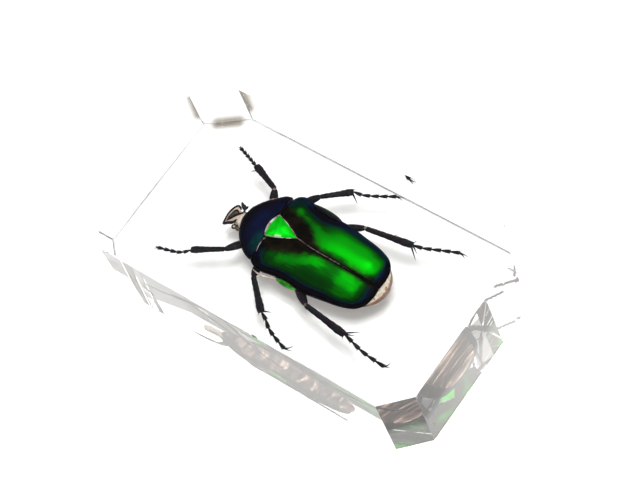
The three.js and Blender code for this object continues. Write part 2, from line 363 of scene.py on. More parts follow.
# ---------------------------------------------------------------- materials
class Field:
    """A number that varies over a surface, built from shader nodes with ordinary arithmetic."""

    def __init__(self, tree, socket):
        self.tree, self.socket = tree, socket

    def _math(self, kind, *others, clamp=False):
        node = self.tree.nodes.new("ShaderNodeMath")
        node.operation, node.use_clamp = kind, clamp
        for slot, value in zip(node.inputs, (self, *others)):
            if isinstance(value, Field):
                self.tree.links.new(value.socket, slot)
            else:
                slot.default_value = value
        return Field(self.tree, node.outputs[0])

    def __add__(self, other):
        return self._math("ADD", other)

    def __sub__(self, other):
        return self._math("SUBTRACT", other)

    def __mul__(self, other):
        return self._math("MULTIPLY", other)

    def power(self, exponent):
        return self._math("POWER", exponent)

    def absolute(self):
        return self._math("ABSOLUTE")

    def largest(self, other):
        return self._math("MAXIMUM", other)

    def clamped(self):
        return self._math("ADD", 0.0, clamp=True)

    def rise(self, low, high):
        """0 below low and 1 above high, smooth between; low may be the higher one."""
        node = self.tree.nodes.new("ShaderNodeMapRange")
        node.interpolation_type = "SMOOTHSTEP"
        swapped = low > high
        node.inputs["From Min"].default_value = min(low, high)
        node.inputs["From Max"].default_value = max(low, high)
        node.inputs["To Min"].default_value = 1.0 if swapped else 0.0
        node.inputs["To Max"].default_value = 0.0 if swapped else 1.0
        self.tree.links.new(self.socket, node.inputs["Value"])
        return Field(self.tree, node.outputs["Result"])


class Surface:
    """A principled material with the fields that its colours are worked out from."""

    def __init__(self, name, **values):
        self.material = bpy.data.materials.new(name)
        self.material.use_nodes = True
        self.tree = self.material.node_tree
        self.shader = self.tree.nodes["Principled BSDF"]
        for socket, value in values.items():
            self.shader.inputs[socket.replace("_", " ")].default_value = value
        coordinates = self.tree.nodes.new("ShaderNodeTexCoord")
        self.place = coordinates.outputs["Object"]
        geometry = self.tree.nodes.new("ShaderNodeNewGeometry")
        self.x, self.y, self.z = (axis * (1 / MM) for axis in self.split(self.place))
        self.normal = self.split(geometry.outputs["Normal"])

    def split(self, socket):
        node = self.tree.nodes.new("ShaderNodeSeparateXYZ")
        self.tree.links.new(socket, node.inputs[0])
        return [Field(self.tree, node.outputs[k]) for k in range(3)]

    def facing(self, direction):
        """How far the surface faces a fixed direction, 1 where it faces it squarely."""
        unit = Vector(direction).normalized()
        nx, ny, nz = self.normal
        return nx * unit.x + ny * unit.y + nz * unit.z

    def noise(self, size, detail=3.0, stretch=(1, 1, 1), roughness=0.55, seed=0.0):
        """Noise from 0 to 1 whose grains are about size millimetres."""
        mapping = self.tree.nodes.new("ShaderNodeMapping")
        mapping.inputs["Scale"].default_value = [1 / (MM * size * s) for s in stretch]
        mapping.inputs["Location"].default_value = (seed, seed, seed)
        self.tree.links.new(self.place, mapping.inputs["Vector"])
        node = self.tree.nodes.new("ShaderNodeTexNoise")
        node.inputs["Scale"].default_value = 1.0
        node.inputs["Detail"].default_value = detail
        node.inputs["Roughness"].default_value = roughness
        self.tree.links.new(mapping.outputs[0], node.inputs["Vector"])
        return Field(self.tree, node.outputs["Fac"])

    def noise_at(self, fields, detail=3.0):
        """Noise from 0 to 1 over the space that three fields make."""
        place = self.tree.nodes.new("ShaderNodeCombineXYZ")
        for field, socket in zip(fields, place.inputs):
            self.tree.links.new(field.socket, socket)
        node = self.tree.nodes.new("ShaderNodeTexNoise")
        node.inputs["Scale"].default_value = 1.0
        node.inputs["Detail"].default_value = detail
        self.tree.links.new(place.outputs[0], node.inputs["Vector"])
        return Field(self.tree, node.outputs["Fac"])

    def near_line(self, start, end):
        """The distance in millimetres, seen from above, to the line between two (x, y) points."""
        (ax, ay), (bx, by) = start, end
        length = (bx - ax) ** 2 + (by - ay) ** 2
        dx, dy = self.x - ax, self.y - ay
        share = ((dx * (bx - ax) + dy * (by - ay)) * (1 / length)).clamped()
        return ((dx - share * (bx - ax)).power(2) + (dy - share * (by - ay)).power(2)).power(0.5)

    def colours(self, field, stops):
        """Colours for the field's values; stops are (value, colour) pairs."""
        node = self.tree.nodes.new("ShaderNodeValToRGB")
        ramp = node.color_ramp
        ramp.interpolation = "EASE"
        while len(ramp.elements) < len(stops):
            ramp.elements.new(0.5)
        for element, (value, colour) in zip(ramp.elements, stops):
            element.position = value
            element.color = (*colour, 1)
        self.tree.links.new(field.socket, node.inputs[0])
        return node.outputs[0]

    def profile(self, field, points):
        """The value that a smooth curve through the (place, value) points has at the field."""
        places, values = zip(*points)
        low, span, top = places[0], places[-1] - places[0], max(values)
        share = (field - low) * (1 / span)
        stops = [((place - low) / span, (value / top,) * 3) for place, value in points]
        return Field(self.tree, self.colours(share, stops)) * top

    def mix(self, share, under, over):
        """The colour over laid on the colour under, by the share field."""
        node = self.tree.nodes.new("ShaderNodeMix")
        node.data_type = "RGBA"
        # The mix node's sockets for colours are 6 and 7.
        for slot, value in ((0, share), (6, under), (7, over)):
            if isinstance(value, Field):
                value = value.socket
            if isinstance(value, (tuple, list)):
                node.inputs[slot].default_value = (*value, 1)
            elif isinstance(value, (int, float)):
                node.inputs[slot].default_value = value
            else:
                self.tree.links.new(value, node.inputs[slot])
        return node.outputs[2]

    def set(self, name, value):
        """Lets a field or a colour drive one of the shader's sockets."""
        value = value.socket if isinstance(value, Field) else value
        self.tree.links.new(value, self.shader.inputs[name])

    def bump(self, height, distance, strength=1.0):
        """Raises the surface by the height field, times distance in millimetres."""
        node = self.tree.nodes.new("ShaderNodeBump")
        node.inputs["Distance"].default_value = distance * MM
        node.inputs["Strength"].default_value = strength
        self.tree.links.new(height.socket, node.inputs["Height"])
        self.tree.links.new(node.outputs[0], self.shader.inputs["Normal"])


VIOLET_BLACK = (0.002, 0.001, 0.003)
NAVY = (0.003, 0.006, 0.03)
TEAL = (0.0, 0.028, 0.03)
DEEP_GREEN = (0.0, 0.026, 0.0025)
GREEN = (0.0, 0.062, 0.0008)
VIVID_GREEN = (0.0, 0.24, 0.001)
BROWN_BLACK = (0.003, 0.002, 0.001)
PINK_RIM = (0.62, 0.45, 0.4)
CREAM = (0.78, 0.66, 0.5)
# The direction that the painted highlights on the shells face, about halfway between straight up and the
# camera's direction.
PAINTED_HIGHLIGHT_WAY = (0.2, -0.16, 0.96)


def elytra_material():
    """Green bands over black, painted as light: a painted green highlight where the wing cases face up,
    and painted shade beside the scutellum and along the suture.
    """
    sheen = (0.12, 0.14, 0.4, 1)
    s = Surface(
        "elytra_shell", Metallic=0.9, Roughness=0.42, Specular_IOR_Level=0.05, Specular_Tint=sheen
    )
    seam = s.x.rise(2.5, -1.8) * 0.4 + SEAM_Y
    lateral = s.y - seam
    out = lateral.absolute()
    streaks = s.noise(0.32, stretch=(12, 1, 4), detail=3)
    clouds = s.noise(1.6, stretch=(2, 1, 1), detail=3, seed=3.0)

    # How strong the painted green highlight is along X.
    along = s.profile(
        s.x,
        [(-8.2, 0.1), (-6.6, 0.34), (-4.5, 0.68), (-2.0, 0.9), (1.0, 0.98), (4.5, 0.86), (7.5, 0.84)]
        + [(10.5, 1.0), (13.2, 1.0), (14.2, 0.8), (15.0, 0.42), (15.7, 0.16), (16.4, 0.0)],
    )
    # How far from the suture the painted shade reaches, along X.
    dark_edge = s.profile(
        s.x,
        [(-8.2, 4.7), (-6.5, 4.5), (-4.0, 4.0), (-2.0, 3.4), (0.0, 2.6), (2.0, 1.5), (3.8, 0.5)]
        + [(8.0, 0.35), (11.0, 0.5), (16.5, 0.6)],
    )
    # Painted highlight, brightest where the shell faces the fixed highlight direction; a painted darker
    # band runs down the left case, and painted brighter patches lie just outside the shade, at the right
    # shoulder and on the right case towards the tail.
    facing = s.facing(PAINTED_HIGHLIGHT_WAY).rise(0.7, 0.96)
    middle = (lateral + 4.7).absolute().rise(2.2, 0.2) * s.x.rise(-1.5, 2.5) * s.x.rise(12.5, 5.5)
    ridge = (out - dark_edge - 1.3).absolute().rise(1.5, 0.1)
    ridge = ridge * s.x.rise(-5.0, -2.5) * s.x.rise(7.0, 3.5)
    shoulder = lateral.rise(2.8, 4.8) * s.x.rise(-2.5, -5.0) * 0.36
    rear = lateral.rise(0.8, 2.6) * s.x.rise(0.5, 7.0) * s.x.rise(15.2, 14.0) * 0.36
    painted_light = facing * along * 0.95 - middle * 0.14 + ridge * 0.16 + shoulder + rear
    painted_light = painted_light + (streaks - 0.5) * 0.34 + (clouds - 0.5) * 0.16
    shine = s.colours(
        painted_light,
        [
            (0.0, VIOLET_BLACK),
            (0.2, NAVY),
            (0.36, TEAL),
            (0.5, DEEP_GREEN),
            (0.78, GREEN),
            (1.0, VIVID_GREEN),
        ],
    )
    # A further painted highlight, vivid green, on the right case towards the tail.
    shine = s.mix(rear * facing * 1.7, shine, (0.0, 0.55, 0.002))
    # Painted shade, brown-black with a ragged edge, beside the scutellum and along the suture.
    ragged = s.noise(0.9, detail=4, seed=9.0)
    dark = (out + (ragged - 0.5) * 1.8 - dark_edge).rise(1.1, -0.7)
    base = s.mix(dark, shine, s.mix(clouds.rise(0.4, 0.65), BROWN_BLACK, (0.012, 0.008, 0.003)))
    broken = s.noise(0.4, detail=2, seed=7.0).rise(0.4, 0.5)
    seam_line = out.rise(0.11, 0.05) * s.x.rise(10.5, 8.0) * broken
    base = s.mix(seam_line, base, (0.75, 0.62, 0.56))
    s.set("Base Color", base)
    s.bump(s.noise(0.25, detail=2), 0.01)
    return s.material


def pronotum_material():
    """Dark grey at the front, navy towards the wing cases, with a violet margin and a teal hem; the navy
    is a painted sheen, drawn where the shield faces the fixed highlight direction.
    """
    sheen = (0.3, 0.28, 0.5, 1)
    s = Surface(
        "pronotum_shell", Metallic=0.8, Roughness=0.45, Specular_IOR_Level=0.08, Specular_Tint=sheen
    )
    clouds = s.noise(1.3, detail=5, roughness=0.65)
    streaks = s.noise(0.4, stretch=(1, 8, 4), detail=4, seed=2.0)
    # Painted sheen: navy where the shield faces the fixed highlight direction, dark towards the front,
    # with random tone.
    painted_sheen_and_tone = s.x.rise(-14.0, -11.0) * s.facing(PAINTED_HIGHLIGHT_WAY).rise(0.5, 0.86)
    painted_sheen_and_tone = painted_sheen_and_tone * 0.85 + (streaks - 0.5) * 0.7 + (clouds - 0.5) * 0.8
    base = s.colours(
        painted_sheen_and_tone,
        [
            (0.0, (0.004, 0.003, 0.005)),
            (0.4, (0.005, 0.003, 0.01)),
            (0.75, (0.003, 0.005, 0.025)),
            (1.0, (0.003, 0.009, 0.045)),
        ],
    )
    hem = s.x.rise(-9.9, -8.5) * (s.y + 3.0).absolute().rise(2.6, 0.8) * clouds.rise(0.25, 0.5)
    base = s.mix(hem * 0.8, base, (0.0, 0.045, 0.04))
    s.set("Base Color", base)
    s.bump(s.noise(0.25, detail=2), 0.012)
    return s.material


def scutellum_material():
    """Bright green, with a painted pale glint near its left edge."""
    s = Surface("scutellum_shell", Metallic=0.95, Roughness=0.4, Specular_IOR_Level=0.1)
    tone = s.noise(1.6, detail=2) + s.noise(0.3, detail=2) * 0.2
    base = s.colours(tone, [(0.35, (0.0, 0.5, 0.005)), (0.75, (0.001, 0.78, 0.01))])
    # A painted highlight: a pale glint near the left edge.
    painted_glint = s.near_line((-5.6, -0.55), (-4.7, -0.2)).rise(0.26, 0.05)
    painted_glint = painted_glint * s.noise(0.3, detail=2).rise(0.3, 0.6)
    s.set("Base Color", s.mix(painted_glint, base, (0.8, 0.95, 0.8)))
    s.bump(s.noise(0.3, detail=2), 0.01)
    return s.material


def rim_material():
    """Thin pale edges, pinkish, and in places worn away to brown."""
    s = Surface("pale_rim", Roughness=0.4)
    tone = s.noise(1.1, detail=4)
    stops = [(0.4, (0.03, 0.015, 0.012)), (0.5, PINK_RIM), (0.6, (0.9, 0.85, 0.8))]
    s.set("Base Color", s.colours(tone, stops))
    return s.material


def dark_rim_material():
    """Nearly black, for edges, ridges and the antenna."""
    s = Surface("dark_edge", Roughness=0.4, Specular_IOR_Level=0.3)
    tone = s.noise(0.6, detail=3)
    s.set("Base Color", s.colours(tone, [(0.3, (0.003, 0.002, 0.003)), (0.7, (0.014, 0.008, 0.007))]))
    s.bump(tone, 0.02)
    return s.material


def side_plate_material():
    """Green on the left side of the body and dark teal on the right."""
    s = Surface("side_plate_shell", Metallic=0.4, Roughness=0.4, Specular_IOR_Level=0.2)
    tone = s.noise(1.5, detail=3)
    left = s.colours(tone, [(0.3, DEEP_GREEN), (0.45, (0.01, 0.2, 0.01)), (0.6, (0.08, 0.6, 0.03))])
    right = s.colours(tone, [(0.4, (0.003, 0.004, 0.008)), (0.65, (0.002, 0.02, 0.014))])
    s.set("Base Color", s.mix(s.y.rise(-1, 1), left, right))
    return s.material


def trunk_material():
    """Underside plates in streaky brown, taupe and beige, and a cream tail plate; black above."""
    s = Surface("underside_shell", Roughness=0.4, Specular_IOR_Level=0.2)
    lateral = s.y - AXIS_Y
    bowed = s.x + lateral * lateral * 0.04
    bands = s.noise_at((bowed * 1.25, s.y * 0.13, s.z * 0.15), detail=4)
    blotches = s.noise(1.4, detail=3, seed=5.0)
    seams = s.profile(bowed, underside_seams())
    tone = (bands - 0.5) * 2.2 + (blotches - 0.5) * 0.5 + 0.43 - seams * 0.45
    brown = s.colours(
        tone,
        [
            (0.2, (0.01, 0.005, 0.004)),
            (0.38, (0.06, 0.032, 0.028)),
            (0.5, (0.24, 0.14, 0.12)),
            (0.62, (0.45, 0.3, 0.25)),
            (0.76, (0.7, 0.52, 0.43)),
            (0.95, (0.85, 0.74, 0.58)),
        ],
    )
    flank = lateral.absolute().rise(4.8, 6.2) * s.x.rise(15.5, 14.0) * s.z.rise(6.2, 7.0)
    brown = s.mix(flank * 0.8, brown, (0.008, 0.006, 0.006))
    tail = s.x.rise(15.6, 16.4) * s.z.rise(5.9, 6.5)
    mottle = s.noise(0.6, detail=5, roughness=0.7)
    cream = s.colours(mottle, [(0.36, (0.2, 0.1, 0.06)), (0.47, CREAM), (0.65, (0.95, 0.88, 0.76))])
    edge = (s.x - 16.55 + lateral * lateral * 0.1).rise(0.75, 0.95) * 0.85
    cream = s.mix(edge, cream, (0.22, 0.09, 0.06))
    brown = s.mix(tail, brown, cream)
    above = s.normal[2].rise(0.1, 0.4) * s.x.rise(16.0, 15.0)
    s.set("Base Color", s.mix(above, brown, BROWN_BLACK))
    s.bump(bands, 0.05)
    return s.material


def leg_material():
    """Black-brown with a faint violet and teal sheen."""
    s = Surface("leg_shell", Metallic=0.3, Roughness=0.4, Specular_IOR_Level=0.18)
    tone = s.noise(1.8, detail=3)
    violet, navy, teal = (0.014, 0.006, 0.009), (0.008, 0.006, 0.014), (0.003, 0.012, 0.014)
    sheen = s.colours(tone, [(0.35, violet), (0.5, navy), (0.65, teal)])
    grain = s.noise(0.3, detail=3)
    s.set("Base Color", s.mix(grain.rise(0.4, 0.75) * 0.6, sheen, (0.034, 0.022, 0.02)))
    s.bump(grain, 0.03)
    return s.material


def joint_material():
    """The pale skin that shows at some of the knees."""
    s = Surface("pale_joint", Roughness=0.5)
    tone = s.noise(0.5, detail=3)
    s.set("Base Color", s.colours(tone, [(0.35, (0.06, 0.035, 0.03)), (0.6, (0.3, 0.22, 0.17))]))
    return s.material


def face_material():
    """Cream and pinkish beige, with brown in patches."""
    s = Surface("face_shell", Roughness=0.45)
    tone = s.noise(0.55, detail=4)
    brown, beige, cream = (0.45, 0.3, 0.22), (0.78, 0.6, 0.48), (0.92, 0.82, 0.7)
    s.set("Base Color", s.colours(tone, [(0.3, brown), (0.45, beige), (0.65, cream)]))
    s.bump(tone, 0.04)
    return s.material


def olive_material():
    """Olive brown with fine pale streaks, for the patch on the face and the throat."""
    s = Surface("olive_fringe", Roughness=0.5)
    tone = s.noise(0.35, stretch=(4, 1, 1), detail=4)
    dark, olive, pale = (0.02, 0.014, 0.008), (0.12, 0.09, 0.05), (0.42, 0.34, 0.2)
    s.set("Base Color", s.colours(tone, [(0.35, dark), (0.52, olive), (0.68, pale)]))
    s.bump(tone, 0.05)
    return s.material


def eye_material():
    """Glossy black, with a painted pale highlight in spots where it faces up."""
    s = Surface("eye_shell", Roughness=0.2, Specular_IOR_Level=0.6)
    tone = s.noise(0.6, detail=2)
    # Painted highlight: pale teal spots where the eye faces a fixed direction near straight up.
    up = s.facing((0.2, -0.3, 0.93))
    painted_glint = up.rise(0.55, 0.9) * tone.rise(0.25, 0.5)
    s.set("Base Color", s.mix(painted_glint, (0.012, 0.016, 0.018), (0.3, 0.42, 0.38)))
    s.bump(s.noise(0.12, detail=1), 0.01)
    return s.material


def worn_edge_material():
    """The ground lower edge of the block, clear but dull."""
    s = Surface("worn_edge", Roughness=0.25, IOR=1.5, Transmission_Weight=1.0)
    tone = s.noise(4.0, detail=3)
    s.set("Base Color", s.colours(tone, [(0.3, (0.3, 0.29, 0.28)), (0.7, (0.5, 0.5, 0.5))]))
    return s.material


def resin_material():
    """Clear polished resin, very faintly green."""
    s = Surface("clear_resin", Roughness=0.0, IOR=1.5, Transmission_Weight=1.0)
    s.shader.inputs["Base Color"].default_value = (0.995, 1.0, 0.995, 1)
    return s.material


# ---------------------------------------------------------------- the beetle
def seam_y(x):
    """Where the two wing cases meet: straight, but for a bend towards the scutellum."""
    t = np.clip((2.5 - x) / 4.3, 0, 1)
    return SEAM_Y + 0.4 * t * t * (3 - 2 * t)


def elytron(side):
    """One wing case: a thin curved shell from the suture to its rolled-in rim.

    Its height dips along the suture and beside the scutellum, rises a little at the shoulder and
    near the tail, and bends down at the front edge.
    """
    half, rim, top, _ = sections(ELYTRA)
    fullness, thickness, tuck = 0.85, 0.35, math.radians(-35)
    rings = []
    for x in cosine_steps(-8.1, 16.45, 110):
        low, high = rim(x), top(x) - rim(x)
        seam = seam_y(x)
        width = half(x) + side * (AXIS_Y - seam)
        if side > 0:
            width += 0.6 * swell(x, -6.6, 2.6)
        edge = SCUTELLUM["half"] * (SCUTELLUM["apex"] - x) / (SCUTELLUM["apex"] - SCUTELLUM["base"])
        inner = min(max(edge, 0.03), 0.9 * width)
        first = math.acos((inner / width) ** (1 / fullness))
        turn = np.linspace(first, tuck, 56)

        def arc(inset):
            out = (width - inset) * power(np.cos(turn), fullness)
            z = low + (high - inset) * power(np.sin(turn), fullness)
            out = np.maximum(out, inner)
            seam_groove = 0.2 * swell(out, inner, 0.3)
            hollow = 0.35 * swell(out, 2.6, 1.4) * swell(x, -4.0, 3.5)
            hump = 0.22 * swell(out, 5.6, 1.3) * swell(x, -5.6, 1.6)
            bump = 0.2 * swell(out, 3.6, 1.3) * swell(x, 13.0, 1.2)
            front = 0.7 * math.exp(-max(x + 8.1, 0) / 0.45)
            z = z - seam_groove - hollow + hump + bump - front
            return np.stack([np.full_like(out, x), seam + side * out, z], axis=1)

        loop = np.vstack([arc(0), arc(thickness)[::-1]])
        rings.append(loop[::-1] if side > 0 else loop)
    return closed(rings)


def elytron_hem():
    """The pale edge of the left wing case: from the scutellum's corner outwards along its front."""
    route = [(-7.0, -1.75, 11.75), (-7.25, -2.4, 11.6), (-7.3, -3.4, 11.25)]
    route += [(-7.2, -4.5, 10.6), (-7.0, -5.4, 9.8)]
    return tube(spline(route, 40), 0.05, 8)


def pronotum():
    """The shield behind the head; its hind edge makes room for the scutellum."""
    points, faces = body_form(PRONOTUM, AXIS_Y, rings=70, around=96, fullness=0.9)
    out = np.abs(points[:, 1] - AXIS_Y)
    rear = np.clip((points[:, 0] + 10.5) / 2.8, 0, 1)
    points[:, 0] -= 0.35 * (out / 6.8) ** 2 * rear
    points[:, 0] -= 0.75 * np.clip(1 - (out / 2.9) ** 2, 0, 1) * rear**2
    points[:, 1] += 0.5 * rear * np.clip((points[:, 1] - AXIS_Y) / 6.8, 0, 1)
    return turned((points, faces), FORE_TURN, FORE_PIVOT_X, AXIS_Y)


def pronotum_hem(side, start, end, radius, lift):
    """A thin bead along the pronotum between two places along X, lift degrees up from its rim."""
    half, rim, top, _ = sections(PRONOTUM)
    xs = np.linspace(start, end, 60)
    across, up = power(math.cos(math.radians(lift)), 0.9), power(math.sin(math.radians(lift)), 0.9)
    route = np.stack([xs, AXIS_Y + side * half(xs) * across, rim(xs) + (top(xs) - rim(xs)) * up], axis=1)
    return turned(tube(route, radius, 8), FORE_TURN, FORE_PIVOT_X, AXIS_Y)


def scutellum_outline(count=24):
    """The edge of the scutellum in plan: long softly bowed sides and a rounded base."""
    base, apex, half = (SCUTELLUM[k] for k in ("base", "apex", "half"))
    corners = np.array([(base, -half), (apex, 0.0), (base, half)])
    bulges = [0.2, 0.2, 0.55]
    outline = []
    for i in range(3):
        a, b = corners[i], corners[(i + 1) % 3]
        out = np.array([(b - a)[1], -(b - a)[0]]) / np.linalg.norm(b - a)
        for t in np.linspace(0, 1, count, endpoint=False):
            outline.append(a + (b - a) * t + out * bulges[i] * 4 * t * (1 - t))
    return np.array(outline) + (0.0, SCUTELLUM["y"])


def scutellum():
    """A flat triangle with a softly domed top."""
    outline = scutellum_outline()
    centre = outline.mean(axis=0)
    levels = [(0.5, -1.2), (1.0, -1.2), (1.0, -0.25), (0.97, -0.1)]
    levels += [(0.85, 0.0), (0.6, 0.1), (0.3, 0.15), (0.05, 0.16)]
    rings = []
    for share, rise in levels:
        flat = centre + (outline - centre) * share
        rings.append(np.column_stack([flat, np.full(len(flat), SCUTELLUM["top"] + rise)]))
    return closed(rings)


def scutellum_rims():
    """Pale beads along the sides of the scutellum, and a broader one at its base."""
    outline = scutellum_outline()
    count = len(outline) // 3
    height = np.full((len(outline), 1), SCUTELLUM["top"] - 0.12)
    edge = np.hstack([outline, height])
    sides = [edge[: count + 1], edge[count : 2 * count + 1]]
    base = np.vstack([edge[2 * count :], edge[:1]])
    widths = 0.06 + 0.2 * np.sin(np.linspace(0, math.pi, len(base)))
    return [tube(sides[0], 0.065, 8), tube(sides[1], 0.055, 8), tube(base, widths, 10)]


def underside_seams():
    """Points of a profile along X that is 1 on the seams of the underside and 0 between them."""
    points = []
    for seam in UNDERSIDE_SEAMS:
        points += [(seam - 0.35, 0.0), (seam, 1.0), (seam + 0.35, 0.0)]
    return points


def trunk():
    """Thorax and abdomen under the wing cases, with the seams between its plates."""

    def relief(x, side, up):
        groove = sum(swell(x, seam, 0.16) for seam in UNDERSIDE_SEAMS)
        return np.where(up < 0.15, 0.18 * groove, 0.0)

    return body_form(TRUNK, AXIS_Y, rings=160, around=80, relief=relief)


def side_plates():
    """The plates that show beyond the wing cases: a short one on the left, a long one on the right."""
    left = ball((0.6, AXIS_Y - 7.35, 7.35), (2.6, 0.85, 0.8))
    right = ball((-1.9, AXIS_Y + 7.35, 7.3), (4.6, 1.2, 1.0))
    return [left, right]


def shoulder_line():
    """The pale line beside the left shoulder of the wing cases."""
    plan = [(-6.4, -7.4), (-5.2, -7.65), (-3.8, -7.45), (-2.4, -7.1), (-1.2, -6.8)]
    route = [(x, y, 8.0) for x, y in plan]
    widths = through([0, 0.3, 0.7, 1], [0.07, 0.15, 0.19, 0.05])(np.linspace(0, 1, 40))
    return tube(spline(route, 40), widths, 10)


def head():
    """The rounded form that the plates and ridges of the face lie on."""
    return body_form(HEAD, HEAD_Y, rings=40, around=48, fullness=0.8)


def clypeus_outline():
    """The edge of the plate at the front of the face, from its near hind corner round the front."""
    points = [(-15.8, -1.45), (-16.6, -1.85), (-17.25, -2.3), (-17.65, -1.1), (-17.8, -0.1)]
    points += [(-17.65, 0.9), (-17.35, 1.65), (-16.9, 2.05), (-16.4, 1.85), (-15.9, 1.5)]
    return points


def clypeus():
    """The dished plate at the front of the face."""
    corners = np.array([(x, y, 0.0) for x, y in clypeus_outline()])
    outline = spline(corners, 60)[:, :2]
    centre = outline.mean(axis=0)
    levels = [(0.4, -0.75), (0.9, -0.55), (1.0, -0.2), (0.97, -0.04)]
    levels += [(0.85, -0.1), (0.5, -0.02), (0.1, 0.02)]
    rings = []
    for share, low in levels:
        flat = centre + (outline - centre) * share
        height = clypeus_height(flat[:, 0]) + low
        rings.append(np.column_stack([flat, height]))
    return closed(rings)


def clypeus_height(x):
    """The plate's height, which falls towards its front edge."""
    return 7.05 + 0.42 * (x + 17.8) / 2.0


def clypeus_rim():
    """The dark raised edge of the plate."""
    corners = [(x, y, clypeus_height(x) + 0.06) for x, y in clypeus_outline()]
    route = spline(corners, 90)
    widths = through([0, 0.2, 0.3, 0.5, 0.9, 1], [0.34, 0.3, 0.2, 0.18, 0.2, 0.14])
    radii = widths(np.linspace(0, 1, 90))
    return tube(route, radii, 10)


def face_ridges():
    """The dark keel down the face, its branch round the streaked patch, and the brow over the eye."""
    keel = [(-17.15, -1.6, 7.3), (-16.5, -0.5, 7.6), (-16.0, 0.25, 7.78), (-14.9, 1.0, 8.2)]
    branch = [(-17.1, -0.9, 7.35), (-17.05, 0.4, 7.42), (-16.6, 1.1, 7.55), (-15.9, 0.8, 7.85)]
    brow = [(-16.3, -1.6, 7.35), (-15.75, -1.35, 7.6), (-15.35, -0.75, 7.85), (-14.9, -0.45, 8.05)]
    widths = through([0, 0.3, 0.75, 1], [0.08, 0.24, 0.3, 0.2])(np.linspace(0, 1, 30))
    return [
        tube(spline(keel, 30), widths, 12, 0.8),
        tube(spline(branch, 24), 0.15, 10, 0.8),
        tube(spline(brow, 24), 0.26, 10, 0.8),
    ]


def face_patch():
    """The streaked dark patch between the keel and its branch."""
    route = spline([(-17.2, -1.4, 7.15), (-16.85, -0.2, 7.2), (-16.5, 0.6, 7.35), (-16.1, 0.95, 7.5)], 24)
    widths = through([0, 0.35, 0.75, 1], [0.1, 0.46, 0.5, 0.12])(np.linspace(0, 1, 24))
    return tube(route, widths, 16, 0.55)


def throat():
    """The fringed bulge under each cheek."""
    return [
        ball((-14.4, -1.4, 6.5), (0.8, 0.85, 0.5)),
        ball((-14.4, 1.3, 6.4), (0.8, 0.8, 0.5)),
    ]


def eyes():
    """A small eye on each side of the head."""
    return [ball((-14.95, HEAD_Y + side * 1.05, 7.4), (0.62, 0.55, 0.6)) for side in (-1, 1)]


def antenna():
    """The fan of three leaves that a chafer's feeler ends in, and its short stem."""
    root = np.array((-15.6, 1.95, 7.1))
    tips = [(-16.95, 3.0, 7.3), (-16.1, 2.85, 7.25), (-15.25, 2.85, 7.2)]
    leaves = []
    for tip in tips:
        route = spline([root, (root + tip) / 2, tip], 14)
        widths = through([0, 0.3, 0.7, 1], [0.22, 0.36, 0.28, 0.04])(np.linspace(0, 1, 14))
        leaves.append(tube(route, widths, 12, 0.6))
    stem = tube(spline([(-15.5, 1.1, 7.3), (-15.3, 1.6, 7.2), root], 10), 0.2, 8)
    return [*leaves, stem]


def mouth_parts():
    """The pale spot under the near cheek and the dark ring round it."""
    x, y, z = MOUTH
    turn = np.linspace(0, 2 * math.pi, 30)
    ring = np.column_stack([x + 0.38 * np.cos(turn), y + 0.38 * np.sin(turn), np.full(30, z)])
    return ball((x, y, z), (0.3, 0.3, 0.2)), tube(ring, 0.17, 8)


def leg(spec):
    """Femur, tibia with its teeth and spurs, five foot joints and two claws."""
    hip, knee, ankle = (np.array(spec[k]) for k in ("hip", "knee", "ankle"))
    t = np.linspace(0, 1, 16)
    femur_width = through([0, 0.5, 0.9, 1], [0.6, 0.85, 0.62, 0.4])(t)
    femur = tube(hip + np.outer(t, knee - hip), femur_width, 18, 0.75)
    t = np.linspace(0, 1, 40)
    shin_width = through([0, 0.06, 0.5, 0.9, 1], [0.36, 0.5, 0.58, 0.74, 0.56])(t)
    shin_width = shin_width * (1 + 0.05 * np.sin(t * 40))
    shin = tube(knee + np.outer(t, ankle - knee), shin_width, 18, 0.7, 0.12)
    forms = [femur, shin]
    for start, end in spec["points"]:
        route = spline([start, (np.array(start) + end) / 2, end], 8)
        forms.append(tube(route, np.linspace(0.22, 0.035, 8), 8))
    places = spline([spec["ankle"], *spec["foot"]], 6)
    for a, b in zip(places[:-1], places[1:]):
        forms += foot_joint(a, b)
    end = np.array(spec["foot"][-1])
    outward = end - np.array(spec["foot"][-2])
    outward /= np.linalg.norm(outward)
    for claw in spec["claws"]:
        claw = np.array(claw)
        middle = (end + claw) / 2 + 0.2 * outward
        forms.append(tube(spline([end, middle, claw], 10), np.linspace(0.19, 0.035, 10), 8))
    return forms


def foot_joint(start, end):
    """One joint of the foot: narrow where it begins, wide at its end, with a bristle on each side."""
    t = np.linspace(0, 1, 10)
    widths = through([0, 0.15, 0.8, 1], [0.13, 0.2, 0.4, 0.26])(t)
    forms = [tube(start + np.outer(t * 1.06, end - start), widths, 12, 0.75)]
    way = (end - start) / np.linalg.norm(end - start)
    across = np.cross(way, (0, 0, 1))
    for side in (-1, 1):
        root = start + 0.85 * (end - start) + 0.25 * side * across
        tip = root + 0.45 * way + 0.3 * side * across
        forms.append(tube(np.linspace(root, tip, 4), np.linspace(0.09, 0.02, 4), 6))
    return forms


def knee_joint(spec):
    """The pale skin at one knee."""
    return ball(spec["knee"], (0.34, 0.34, 0.5), 20, 12)


